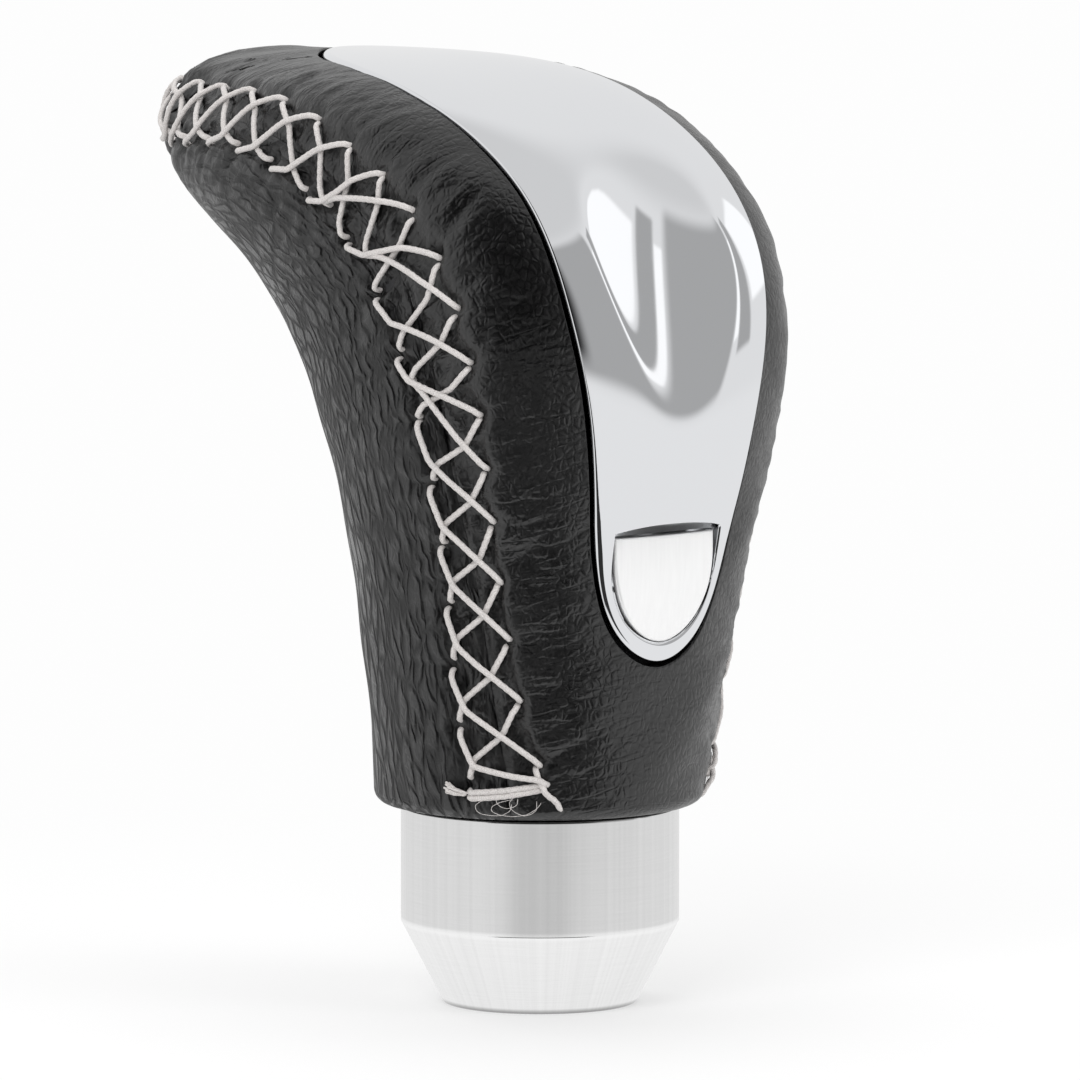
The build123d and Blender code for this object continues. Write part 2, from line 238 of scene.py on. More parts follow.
# For each place along the grip: the seam's angle round it and the distance run up the seam
def seamTable(form):
    line = np.array(form["points"], float)
    run = runLength(line)
    bent = curveThrough(run, line, np.linspace(0, run[-1], 500), ([0, 1], [1, form["fall"]]))
    foot = np.column_stack([np.full(40, line[0, 0]), np.linspace(-1, line[0, 1], 40, endpoint=False)])
    tail = line[-1] + np.linspace(0, form["tailLength"], 60)[1:, None] * np.array([1, form["fall"]])
    whole = np.vstack([foot, bent, tail])
    wholeRun = runLength(whole) - 1
    place = np.linspace(0, 1, form["steps"])
    row = curveThrough(ringKnots, ringRows, place)
    centre, reach = (row[:, 0:2] + row[:, 2:4]) / 2, (row[:, 0:2] - row[:, 2:4]) / 2
    reach = reach + 1e-6
    past = dot(np.column_stack([reach[:, 1], -reach[:, 0]])[:, None], whole - centre[:, None])
    cross = np.argmax(past[:, 1:] * past[:, :-1] <= 0, axis=1)
    pick = np.arange(len(place))
    share = past[pick, cross] / (past[pick, cross] - past[pick, cross + 1] + 1e-12)
    hit = whole[cross] + (whole[cross + 1] - whole[cross]) * share[:, None]
    hitRun = wholeRun[cross] + (wholeRun[cross + 1] - wholeRun[cross]) * share
    level = np.clip(dot(hit - centre, reach) / dot(reach, reach), -0.9, 0.9)
    power = np.where(level > 0, row[:, 5], gripForm["backSquare"])
    angle = np.arctan2(level, (1 - np.abs(level) ** power) ** (1 / power))
    point = gripAt(place, angle)
    swing = np.arctan2(point[:, 1] - form["swingStart"], np.abs(point[:, 0]))
    start = np.interp(0, swing, hitRun)
    run = np.where(swing > 0, start + form["swingRadius"] * swing, hitRun)
    return place, angle, np.maximum.accumulate(run)


seamPlace, seamAngle, seamRun = seamTable(seam)
print("grip and seam worked out, seam", round(seamRun[-1], 1), "mm")


def seamAngleAt(place):
    return np.interp(place, seamPlace, seamAngle)


# Point, upward direction and direction to the front panel at a place on the right-hand seam
def seamFrame(place):
    angle = seamAngleAt(place)
    point = gripAt(place, angle)
    step = 2e-3
    ahead, behind = np.clip(place + step, 0, 1), np.clip(place - step, 0, 1)
    run = unit(gripAt(ahead, seamAngleAt(ahead)) - gripAt(behind, seamAngleAt(behind)))
    out = gripSlopes(place, angle)[2]
    return point, run, unit(np.cross(out, run)), angle


# Distance up the seam and across it, to the front, of points on the grip, both sides alike
def seamDistance(place, points):
    folded = points.copy()
    folded[..., 0] = np.abs(folded[..., 0])
    point, run, across, _ = seamFrame(place)
    way = folded - point
    up = dot(way, run)
    far = np.linalg.norm(way - up[..., None] * run, axis=-1)
    return np.interp(place, seamPlace, seamRun) + up, np.copysign(far, dot(way, across))


# Place along and angle round the grip of the points nearest to a distance up and across the seam
def ontoGrip(upSeam, toFront):
    place = np.interp(upSeam, seamRun, seamPlace)
    point, _, across, angle = seamFrame(place)
    target = point + across * toFront[..., None]
    for _ in range(6):
        along, around, _ = gripSlopes(place, angle)
        miss = target - gripAt(place, angle)
        aa, ab, bb = dot(along, along), dot(along, around), dot(around, around)
        pa, pb = dot(miss, along), dot(miss, around)
        size = aa * bb - ab * ab + 1e-6
        place = np.clip(place + np.clip((pa * bb - pb * ab) / size, -0.03, 0.03), 0, 0.999)
        angle = angle + np.clip((pb * aa - pa * ab) / size, -0.3, 0.3)
    return place, angle


# Sets inputs of a node: each is a value, or the output of another node that it follows
def setInputs(node, values):
    for key, value in values.items():
        if isinstance(value, bpy.types.NodeSocket):
            node.id_data.links.new(value, node.inputs[key])
        elif value is not None:
            node.inputs[key].default_value = value


# Adds a node and gives one of its outputs. Inputs come in their order or by name, other names are settings
def addNode(tree, kind, *inputs, out=0, **named):
    node = tree.nodes.new("ShaderNode" + kind)
    for key in [key for key in named if hasattr(node, key)]:
        setattr(node, key, named.pop(key))
    setInputs(node, {**dict(enumerate(inputs)), **named})
    return node.outputs[out]


# A value between low and high that follows another one
def spread(source, low, high, fromLow=0.0, fromHigh=1.0, **settings):
    return addNode(source.id_data, "MapRange", source, fromLow, fromHigh, low, high, **settings)


def combine(operation, *values):
    return addNode(values[0].id_data, "Math", *values, operation=operation)


def noise(place, scale, detail, **more):
    return addNode(place.id_data, "TexNoise", Vector=place, Scale=scale, Detail=detail, **more)


# Places moved about by a noise
def bent(place, waves, share):
    return addNode(place.id_data, "MixRGB", share, place, waves, blend_type="LINEAR_LIGHT")


def cells(place, scale):
    return addNode(place.id_data, "TexVoronoi", feature="DISTANCE_TO_EDGE", Vector=place, Scale=scale)


def relief(height, depth, strength, **more):
    return addNode(height.id_data, "Bump", Strength=strength, Distance=depth, Height=height, **more)


def stretched(place, scale):
    return addNode(place.id_data, "Mapping", place, Scale=scale)


def tinted(share, look):
    return addNode(share.id_data, "MixRGB", share, look["dark"], look["light"])


# A new material, its nodes and the place of each point on the object
def newMaterial(name):
    material = bpy.data.materials.new(name)
    material.use_nodes = True
    return material, material.node_tree, addNode(material.node_tree, "TexCoord", out="Object")


def dress(material, surface):
    setInputs(material.node_tree.nodes["Principled BSDF"], surface)
    return material


leatherLook = {
    "dark": (0.0008, 0.0008, 0.0009, 1), "light": (0.0042, 0.004, 0.0043, 1), "specular": 0.82,
    "rough": (0.26, 0.38, 0.3, 0.7), "roughPatch": 90.0, "foldRough": 0.3, "foldShade": 0.1,
    "pebble": 1250, "pebbleEdge": 0.3, "pebbleTall": (1, 1, 0.7), "crease": 420, "creaseBend": 0.0007,
    "fine": 5200, "fineShare": 0.45, "grain": 0.00004, "grainShare": 0.8,
    # size of the ridges up the seam and across it, in millimetres, and the folds' width and depth
    "frontRidge": (1.1, 4.2), "rearRidge": (5.0, 1.55),
    "foldWidth": 0.26, "foldDepth": 0.00034, "foldBend": 0.45,
    # strength of the folds from and to, with the millimetres across the seam or up it
    "frontFold": (0.16, 0.07, 4.0, 16.0), "rearFold": (1, 0.5, -4.5, -3.0), "noseFold": (1, 0.3, 78.0, 112.0),
    "sideways": (-3.0, 3.0, -0.025, 0.025),    # keeps the left side unlike the right one
}


# Black leather: pebbles between net-like grooves with fine pores over them. Wrinkles are the borders of cells
# drawn out on the seam map (millimetres up the seam and across it): they run out from the lacing in front,
# upwards behind, and are fainter under the nose
def blackLeather(look):
    material, tree, place = newMaterial("blackLeather")
    waves = noise(place, look["crease"], 2.0, out="Color")
    tall = stretched(bent(place, waves, look["creaseBend"]), look["pebbleTall"])
    net = cells(tall, look["pebble"])
    pebble = spread(net, 0, 1, 0, look["pebbleEdge"], interpolation_type="SMOOTHSTEP")
    pores = combine("MULTIPLY_ADD", noise(place, look["fine"], 3.0), look["fineShare"], pebble)
    seamMap = addNode(tree, "SeparateXYZ", addNode(tree, "UVMap", uv_map="seam")).node.outputs
    up, across = seamMap["X"], seamMap["Y"]
    sideways = spread(addNode(tree, "SeparateXYZ", place), *look["sideways"])
    strewn = addNode(tree, "CombineXYZ", up, across, sideways)
    near = spread(across, *look["frontFold"])
    behind = combine("MULTIPLY", spread(across, *look["rearFold"]), spread(up, *look["noseFold"]))
    folds = []
    for size, share in ((look["frontRidge"], near), (look["rearRidge"], behind)):
        drawn = stretched(strewn, (1 / size[0], 1 / size[1], 1))
        waves = noise(drawn, 1.0, 1.0, out="Color", Roughness=0.45, Distortion=0.6)
        ridge = cells(bent(drawn, waves, look["foldBend"]), 1.0)
        valley = spread(ridge, 1, 0, 0, look["foldWidth"], interpolation_type="SMOOTHSTEP")
        folds.append(combine("MULTIPLY", valley, share))
    inFront = combine("GREATER_THAN", across, 0.0)
    fold = addNode(tree, "Mix", inFront, None, folds[1], folds[0])
    wrinkle = relief(fold, look["foldDepth"], 1.0, invert=True)
    # painted shade: the colour darkens in the folds and in the grooves between pebbles
    shade = combine("MULTIPLY", spread(fold, 1, look["foldShade"]), pebble)
    rough = spread(noise(place, look["roughPatch"], 4.0), *look["rough"])
    return dress(material, {
        "Base Color": tinted(shade, look),
        "Roughness": combine("MULTIPLY_ADD", fold, look["foldRough"], rough),
        "Specular IOR Level": look["specular"],
        "Normal": relief(pores, look["grain"], look["grainShare"], Normal=wrinkle),
    })


threadLook = {"dark": (0.37, 0.345, 0.33, 1), "light": (0.66, 0.63, 0.615, 1), "fibre": 9000,
              "depth": 0.00006, "roughness": 0.62, "sheen": 0.25}


# Waxed thread: pale, with painted shade making it a little darker between its fibres
def paleThread(look):
    material, tree, place = newMaterial("paleThread")
    fibre = noise(place, look["fibre"], 3.0)
    shade = spread(fibre, 0, 1, 0.25, 0.6)
    return dress(material, {
        "Base Color": tinted(shade, look),
        "Roughness": look["roughness"],
        "Sheen Weight": look["sheen"],
        "Normal": relief(fibre, look["depth"], 0.4),
    })


chromeLook = {"colour": (0.84, 0.85, 0.87, 1), "rough": (0.035, 0.06, 0.35, 0.65), "haze": 260}


# Bright plating: a mirror with faint uneven haze
def brightChrome(look):
    material, tree, place = newMaterial("brightChrome")
    rough = spread(noise(place, look["haze"], 5.0), *look["rough"])
    return dress(material, {"Base Color": look["colour"], "Metallic": 1.0, "Roughness": rough})


satinLook = {"dark": (0.88, 0.88, 0.88, 1), "light": (0.97, 0.97, 0.97, 1), "grain": 3200,
             "drawn": (1, 1, 0.06), "metal": 0.45, "rough": (0.26, 0.4), "depth": 0.00003}


# Satin badge face: pale metal with a fine upright brushing
def satinSilver(look):
    material, tree, place = newMaterial("satinSilver")
    grain = noise(stretched(place, look["drawn"]), look["grain"], 3.0)
    return dress(material, {
        "Base Color": tinted(grain, look),
        "Metallic": look["metal"],
        "Roughness": spread(grain, *look["rough"]),
        "Normal": relief(grain, look["depth"], 0.12),
    })


turnedLook = {
    "roughness": 0.12, "anisotropy": 0.7, "depth": 0.00001, "threadDepth": 0.0004,
    "groove": 9000, "grooveFlat": (0.02, 0.02, 1), "grooveTone": (0.96, 1.04),
    "streak": 24, "streakTone": (0.92, 1.08),
    # painted light and shade at heights over the foot, in millimetres: a painted contact shadow at the foot
    # edge, a cone painted bright, a painted highlight along the cone's upper edge, a sleeve painted darker
    "paintedLightTones": [(0.0, 0.3), (0.25, 0.45), (0.6, 0.9), (8.4, 0.94), (8.75, 1.0), (9.1, 1.0),
              (9.4, 0.8), (25, 0.78)],
}


# Turned aluminium: fine rings round the axis that draw each reflection out up and down, faint upright
# streaks, and where a pitch is given a fine screw thread, cut as waves up the axis. Its colour carries
# painted
# light and shade by height: a painted contact shadow at the foot, a painted highlight at the cone's edge, a
# sleeve painted darker than the cone
def turnedAluminium(look, name, threadPitch=None):
    material, tree, place = newMaterial(name)
    top = look["paintedLightTones"][-1][0]
    height = addNode(tree, "SeparateXYZ", place, out="Z")
    # painted light and shade: a colour ramp by height over the foot
    paintedTone = addNode(tree, "ValToRGB", spread(height, 0, 1, 0, top * mm))
    stops = paintedTone.node.color_ramp.elements
    for tall, _ in look["paintedLightTones"][1:-1]:
        stops.new(tall / top)
    for stop, (_, level) in zip(stops, look["paintedLightTones"]):
        stop.color = (level, level, level, 1)
    groove = noise(stretched(place, look["grooveFlat"]), look["groove"], 2.0)
    around = addNode(tree, "VectorMath", stretched(place, (1, 1, 0)), operation="NORMALIZE")
    streak = noise(around, look["streak"], 2.0)
    mark = combine("MULTIPLY", spread(groove, *look["grooveTone"]), spread(streak, *look["streakTone"]))
    bump = relief(groove, look["depth"], 0.05)
    if threadPitch:
        wave = addNode(tree, "TexWave", out="Fac", bands_direction="Z", wave_profile="TRI", Vector=place,
                       Scale=math.pi / 10 / threadPitch)
        bump = relief(wave, look["threadDepth"], 1.0, Normal=bump)
    return dress(material, {
        "Base Color": addNode(tree, "VectorMath", paintedTone, mark, operation="MULTIPLY"),
        "Metallic": 1.0,
        "Roughness": look["roughness"],
        "Anisotropic": look["anisotropy"],
        "Tangent": addNode(tree, "Tangent", direction_type="RADIAL", axis="Z"),
        "Normal": bump,
    })


# Plain moulded plastic or blackened steel for the inner pieces, with a fine grain
def mouldedBlack(name, colour, roughness, metallic=0.0):
    material, tree, place = newMaterial(name)
    grain = noise(place, 2500.0, 3.0)
    darker = [0.7 * part for part in colour]
    return dress(material, {
        "Base Color": addNode(tree, "MixRGB", grain, (*darker, 1), (*colour, 1)),
        "Metallic": metallic,
        "Roughness": spread(grain, roughness - 0.08, roughness + 0.08),
        "Normal": relief(grain, 0.00004, 0.15),
    })


leatherMaterial = blackLeather(leatherLook)
print("materials made")

# Lacing over both seams: two rows of holes, and threads that cross over and under between them.
# Holes are (stitch number, distance up the seam, distance to the front of it), routes are
# (share of the way down the seam, share of the way across it, height)
lacing = {
    "radius": 0.33, "flat": 0.9, "plies": 3, "plyDepth": 0.08, "lay": 2.6,
    "frontHoles": [(0, 5.8, 4.0), (3, 25.8, 3.2), (6, 43.4, 5.2), (9, 58.7, 6.1), (13, 82, 5.2),
                   (16, 105, 4.4), (19, 129.5, 4.2)],
    "rearHoles": [(-2, 4.0, -4.6), (0, 16.8, -4.5), (4, 43.7, -3), (6, 60, -4.1), (8, 77.3, -3.2),
                  (12, 105.3, -4.4), (16, 131, -4.4)],
    "count": 20,
    "hooked": (5, 8, 10),    # stitches on the outside of the bend, which hang on the next one's thread
    "over": [(0, 0, 0.05), (0.07, 0.02, 0.4), (0.37, 0.16, 0.66), (0.55, 0.42, 0.6), (0.7, 0.65, 0.7),
             (0.94, 0.95, 0.4), (1, 1, 0.05)],
    "hung": [(0, 0, 0.2), (0.15, 0.2, 0.5), (0.66, 0.66, 0.72), (0.93, 0.94, 0.4), (1, 1, 0.05)],
    "under": [(0, 0, 0.05), (0.07, 0.06, 0.34), (0.41, 0.34, 0.04), (0.72, 0.88, 0.02), (0.94, 0.98, 0.3),
              (1, 1, 0.05)],
    "underFront": (-0.6, -0.6), "underRear": (1.0, 0.6),     # up the seam and across, from the upper thread
    "end": [(10.4, -4.3, 0.05), (9.6, -4.2, 0.4), (6.6, -3.2, 0.7), (5.2, 1.0, 0.85), (4.3, 3.9, 0.95),
            (3.7, 4.5, 0.7)],
    "ties": [(3.4, -4.7, 4.4), (2.85, -4.6, 4.3)],           # up the seam, from and to across it
    "tie": [(0, 0.05), (0.06, 0.35), (0.5, 0.5), (0.94, 0.4), (1, 0.05)],
    "tail": [(5.1, 3.4, 0.05), (4.6, 3.5, 0.35), (3.0, 4.0, 1.0), (2.5, 4.2, 0.95), (1.4, 4.9, 0.45),
             (0.6, 5.5, 0.2)],
    # loose ends: a tuft that fans out from a knot, and fine loops, each (up, across, half height, half width)
    "tuft": {"foot": (3.5, -4.9), "tip": (4.3, -6.9), "fan": 1.1, "fibres": 9, "thick": 0.4},
    "loops": [(1.7, -1.9, 1.0, 2.1), (1.9, 1.4, 1.1, 1.5), (2.2, -0.2, 0.7, 1.2), (1.6, 0.6, 0.9, 2.8)],
    "loopThick": 0.09, "loopTurn": 0.75, "loopHeight": 0.55,
    "hole": 1.1, "lean": 0.15, "sink": 0.36,    # how far the ends go in, and all of it lies in the strip
    "rightFront": 0.25, "rightNose": (85, 110),    # the right side's front row lies nearer to its seam
    "samples": 52, "sides": 10, "jitter": 0.1, "seed": 5,
}


def holeTable(row):
    row = np.array(row, float)
    return curveThrough(row[:, 0], row[:, 1:], np.arange(row[0, 0], row[-1, 0] + 1))


frontHoles, rearHoles = holeTable(lacing["frontHoles"]), holeTable(lacing["rearHoles"])


def rearHole(stitch):
    number = stitch - sum(1 for k in lacing["hooked"] if k < stitch)
    return rearHoles[np.clip(number - lacing["rearHoles"][0][0], 0, len(rearHoles) - 1)]


def between(start, end, route):
    shares = np.array(route, float)
    return np.column_stack([start + (end - start) * shares[:, :2], shares[:, 2]])


# Threads of one side: points (distance up the seam, across it, height) and thickness of each
def threadLines(look):
    lines = [(np.array(look["end"], float), 1.0), (np.array(look["tail"], float), 1.0)]
    spots, heights = np.array(look["tie"]).T
    for up, start, end in look["ties"]:
        tie = [np.full(len(spots), up), start + (end - start) * spots, heights]
        lines.append((np.column_stack(tie), 1.0))
    tuft = look["tuft"]
    foot, tip = np.array(tuft["foot"]), np.array(tuft["tip"])
    for side in np.linspace(-0.5, 0.5, tuft["fibres"]):
        end = tip + tuft["fan"] * side * np.array([1.0, 0.4])
        route = np.vstack([foot, foot + (end - foot) * 0.5, end])
        lines.append((np.column_stack([route, [0.4, 0.9 - side ** 2, 1.05 - 2 * side ** 2]]), tuft["thick"]))
    turn = look["loopTurn"] * np.linspace(0, 2 * math.pi, 9)
    high = np.full(len(turn), look["loopHeight"])
    for up, across, tall, wide in look["loops"]:
        loop = np.column_stack([up - tall * np.sin(turn), across + wide * np.cos(turn), high])
        lines.append((loop, look["loopThick"]))
    for k in range(look["count"]):
        if k in look["hooked"]:
            kink = between(rearHole(k + 1), frontHoles[k + 1], look["over"])[2, :2]
            lines.append((between(kink, frontHoles[k], look["hung"]), 1.0))
        else:
            lines.append((between(rearHole(k), frontHoles[k], look["over"]), 1.0))
    for k in range(1, look["count"]):
        start = frontHoles[k] + look["underFront"]
        if k - 3 in look["hooked"]:
            end = between(rearHole(k - 2), frontHoles[k - 2], look["over"])[2, :2]
        else:
            end = rearHole(k - 3) + look["underRear"]
        lines.append((between(start, end, look["under"]), 1.0))
    return lines


# Share of the distance across the seam at which the right side's front row lies, one at the nose and behind
def rightRow(upSeam, across):
    narrow = (lacing["rightFront"] - 1) * (1 - smoothStep(*lacing["rightNose"], upSeam))
    return 1 + narrow * (np.asarray(across) > 0)


# Each thread runs straight from point to point with softened corners; plies make ridges that wind along it
def laceTubes(look):
    draw = np.random.default_rng(look["seed"])
    lines = []
    threads = threadLines(look) + threadLines(look)           # right side, then left
    for points, thick in threads:
        shift = draw.normal(0, look["jitter"], 2)
        points[:, :2] += shift + draw.normal(0, look["jitter"] / 2, (len(points), 2))
        deep = look["hole"] if thick == 1 else 0.0
        sunk = points[[0, -1]] + [[look["lean"], 0, -deep], [-look["lean"], 0, -deep]]
        points = np.vstack([sunk[:1], points, sunk[1:]])
        run = runLength(points)
        at = np.linspace(0, run[-1], look["samples"])
        line = np.column_stack([np.interp(at, run, points[:, k]) for k in range(3)])
        for _ in range(2):
            line[1:-1] = (line[:-2] + 2 * line[1:-1] + line[2:]) / 4
        lines.append(line)
    thick = np.array([thick for _, thick in threads])[:, None, None]
    lines = np.array(lines)
    lines[..., 2] -= look["sink"]
    right = lines[:len(lines) // 2]
    right[..., 1] *= rightRow(right[..., 0], right[..., 1])
    place, angle = ontoGrip(np.clip(lines[..., 0], 0.3, seamRun[-1] - 0.5), lines[..., 1])
    out = gripSlopes(place, angle)[2]
    centre = gripAt(place, angle) + out * lines[..., 2:3]
    way = unit(np.gradient(centre, axis=1))
    side = unit(np.cross(way, out))
    up = np.cross(side, way)
    run = np.cumsum(np.linalg.norm(np.gradient(centre, axis=1), axis=-1), axis=1)[..., None]
    turn = 2 * math.pi * np.arange(look["sides"]) / look["sides"]
    ply = 1 + look["plyDepth"] * np.cos(look["plies"] * (turn - 2 * math.pi * run / look["lay"]))
    ends = np.minimum(np.arange(look["samples"]), np.arange(look["samples"])[::-1])
    taper = np.sqrt(np.clip(ends / 1.5, 0, 1))[None, :, None]
    radius = look["radius"] * thick * ply * taper
    tubes = (centre[:, :, None] + (radius * np.cos(turn))[..., None] * side[:, :, None]
             + (radius * look["flat"] * np.sin(turn))[..., None] * up[:, :, None])
    tubes[len(lines) // 2:, ..., 0] *= -1
    return tubes


threads = laceTubes(lacing)
addPiece("seam_lacing", threads, paleThread(threadLook), "knob", "seam_stitching")

# Leather: how it is drawn in at the seam and puckered by the lacing
pucker = {
    "strip": 0.85, "stripEdge": (0.62, 1.12), "stripFoot": (2, 5),    # sunken, between the rows of holes
    "groove": 0.3, "grooveHalf": 0.6,      # where the panels meet
    "crumple": 0.3, "crumplePitch": 2.2,   # creased skin in the strip
    "hole": 0.7, "holeRadius": 0.8,
    "crease": 0.32, "creaseHalf": 0.4, "creaseLength": (4.0, 11.0), "creaseLean": 0.4,
    "creaseBend": 0.03, "creaseStrength": (0.4, 1.0),
    # share of the way to the next hole, and depth
    "fans": [(0.0, 1.0), (0.12, 0.7), (-0.15, 0.6), (0.5, 0.45), (0.35, 0.4)],
    "puff": 0.2, "puffFrom": (0.8, 1.3), "puffTo": (6, 15),
    "swell": 0.1, "swellPitch": 15.0, "ruck": 0.08, "ruckPitch": 3.0, "ruckTo": (5, 16),
}


# Nearest hole, with all of them moved a share of the way to the next: its number and the distance from it
def nearestHole(upSeam, holes, share=0.0):
    count = np.arange(len(holes))
    number = np.interp(upSeam, holes[:, 0], count) - share
    nearest = np.clip(np.round(number), 0, len(holes) - 1).astype(int)
    return nearest, upSeam - np.interp(nearest + share, count, holes[:, 0])


# Valleys that run out from each hole of a row, a little askew, and fade away
def creases(upSeam, beyond, holes, draw, share):
    nearest, off = nearestHole(upSeam, holes, share)
    length = draw.uniform(*pucker["creaseLength"], len(holes))[nearest]
    lean = draw.normal(0.0, pucker["creaseLean"], len(holes))[nearest]
    bend = draw.normal(0.0, pucker["creaseBend"], len(holes))[nearest]
    strength = draw.uniform(*pucker["creaseStrength"], len(holes))[nearest]
    line = off - lean * beyond - bend * beyond ** 2
    valley = np.exp(-(line / (pucker["creaseHalf"] + 0.04 * np.abs(beyond))) ** 2)
    return strength * valley * smoothStep(-1.5, 0.4, beyond) * (1 - smoothStep(0.2, 1.0, beyond / length))


# Height of the leather over the grip's form: a creased dip along the seam, a dimple at each hole,
# valleys that fan out from the holes, and a slow unevenness all over
def leatherHeight(upSeam, across, points, seed):
    draw = np.random.default_rng(seed)
    front = across > 0
    holes = frontHoles if front.mean() > 0.5 else rearHoles
    row = np.interp(upSeam, holes[:, 0], np.abs(holes[:, 1]))
    row = row * np.where(points[..., 0] > 0, rightRow(upSeam, across), 1)
    far = np.abs(across)
    laced = smoothStep(*pucker["stripFoot"], upSeam)
    inside = 1 - smoothStep(*pucker["stripEdge"], far / row)
    height = -pucker["strip"] * inside * laced
    height -= pucker["groove"] * np.exp(-(across / pucker["grooveHalf"]) ** 2)
    crumple = unevenness(upSeam / pucker["crumplePitch"], across / (1.6 * pucker["crumplePitch"]), seed + 3)
    height += pucker["crumple"] * crumple * inside * smoothStep(0.3, 1.5, far) * laced
    off = nearestHole(upSeam, holes)[1]
    height -= pucker["hole"] * np.exp(-(off ** 2 + (far - row) ** 2) / pucker["holeRadius"] ** 2)
    for share, depth in pucker["fans"]:
        height -= pucker["crease"] * depth * creases(upSeam, far - row, holes, draw, share) * laced
    puff = smoothStep(*pucker["puffFrom"], far / row) * (1 - smoothStep(*pucker["puffTo"], far))
    height += pucker["puff"] * puff * laced
    slow = points / pucker["swellPitch"]
    height += pucker["swell"] * unevenness(slow[..., 0] + slow[..., 1], slow[..., 2], seed + 1)
    ruck = unevenness(upSeam / pucker["ruckPitch"], across / (3 * pucker["ruckPitch"]), seed + 2)
    height += pucker["ruck"] * ruck * (1 - smoothStep(*pucker["ruckTo"], far))
    return height


# Depth of a rounded edge at a distance from it
def edgeRoll(distance, radius):
    short = np.clip(radius - distance, 0, radius)
    return radius - np.sqrt(radius ** 2 - short ** 2)


# The chrome plate's outline in its press plane: half widths at distances up from its lower tip
plate = {
    "tilt": 40.0, "length": 83.0, "proud": 0.4, "gap": 0.1,
    "outline": [(5.4, 2.3), (9.5, 9.9), (11.5, 18.3), (13.7, 28), (14.4, 41), (14.3, 52), (13.6, 64),
                (8, 77.6)],
    "rim": 0.9, "lip": 0.3, "wall": 2.4, "backDepth": 3.4, "cornerRise": 1.5, "spineEnd": 6,
    "headCentre": (4.8, 47.4), "headRadius": 28.7,
    "dishMiddle": 24.0, "dishDepth": 1.9, "dishRadius": 45.0, "dishRound": 30.0, "dishSoft": 0.35,
    "dishFrom": 0.0, "dishTo": 50.0,
    "columns": (46, 120), "rings": 120, "crowd": 0.9,
}
pressTurn = math.radians(plate["tilt"])


# Share 0 is the lower tip, 0.5 the upper one, and the right side lies between them
def plateEdge(share, grow=0.0):
    right = plate["outline"]
    loop = [(0, 0), *right, (0, plate["length"]), *[(-x, q) for x, q in right[::-1]]]
    points = np.array(loop[-3:] + loop + loop[:4], float)
    run = runLength(points)
    period = run[3 + len(loop)] - run[3]
    at = run[3] + share * period
    step = 0.01
    way = unit(curveThrough(run, points, at + step) - curveThrough(run, points, at - step))
    return curveThrough(run, points, at) + grow * np.stack([way[..., 1], -way[..., 0]], axis=-1)


def pressUp(points):
    return math.sin(pressTurn) * points[..., 1] + math.cos(pressTurn) * (points[..., 2] - hemZ)


# Angle round the grip's front at which a section has a given x
def angleAtX(place, x, inset):
    row = curveThrough(ringKnots, ringRows, place)
    share = np.clip(x / (row[..., 4] - inset), -0.999, 0.999)
    return np.arctan2((1 - np.abs(share) ** row[..., 5]) ** (1 / row[..., 5]), share)


# Place and angle on the grip's front over a point of the press plane, by Newton's steps along the grip
def gripUnder(x, up, inset=0.0):
    table = np.linspace(0.01, 0.99, 400)
    place = np.interp(up, pressUp(gripAt(table, np.full_like(table, math.pi / 2), inset)), table)
    step = 1e-4
    for _ in range(9):
        here = pressUp(gripAt(place, angleAtX(place, x, inset), inset))
        there = pressUp(gripAt(place + step, angleAtX(place + step, x, inset), inset))
        place = np.clip(place + np.clip((up - here) * step / (there - here), -0.05, 0.05), 0.001, 0.995)
    return place, angleAtX(place, x, inset)


frontPanel = {
    "columns": 220, "rows": 100, "crowd": 0.88, "hemPart": 0.16, "nosePart": 0.07, "innerFoot": 0.07,
    "innerWall": 1.4, "edgeRound": 0.22, "tuckHem": (0.7, 1.8, 3.4), "tuckSeam": (0.2, 0.4, 0.6),
    "thick": 0.5, "flat": (0.10, 0.14), "area": 0.0055, "seed": 21,
}


# The front panel is a ring of rays from the chrome plate's edge out to the hem, the seam and the nose
def frontPanelGrid(form):
    column = np.linspace(0, 1, form["columns"])
    hem, nose = form["hemPart"], 1 - form["nosePart"]
    share = np.interp(column, [0, hem, 1], [0, form["innerFoot"], 1]) / 2
    edge = plateEdge(share, plate["gap"])
    innerPlace, innerAngle = gripUnder(edge[:, 0], edge[:, 1])
    run = np.interp(column, [0, hem, nose, 1], [0, 0, seamRun[-1], seamRun[-1]])
    outerPlace = np.interp(run, seamRun, seamPlace)
    outerAngle = seamAngleAt(outerPlace)
    front = np.interp(column, [0, hem, nose, 1], [1, 0, 0, 1])
    outerAngle = outerAngle + (math.pi / 2 - outerAngle) * front
    row = crowded(form["rows"], form["crowd"])[:, None]
    place = innerPlace + (outerPlace - innerPlace) * row
    angle = innerAngle + (outerAngle - innerAngle) * row
    atHem = 1 - smoothStep(hem - 0.01, hem + 0.01, column)
    tuck = np.outer(form["tuckHem"], atHem) + np.outer(form["tuckSeam"], 1 - atHem)
    place = np.vstack([place[:1], place, np.repeat(place[-1:], len(tuck), axis=0)])
    angle = np.vstack([angle[:1], angle, np.repeat(angle[-1:], len(tuck), axis=0)])
    wall, face = np.full((1, len(column)), form["innerWall"]), np.zeros((form["rows"], len(column)))
    inset = np.vstack([wall, face, tuck])
    place = np.hstack([place, place[:, -2:0:-1]])          # the left half mirrors the right one
    angle = np.hstack([angle, math.pi - angle[:, -2:0:-1]])
    inset = np.hstack([inset, inset[:, -2:0:-1]])
    return place, angle, inset


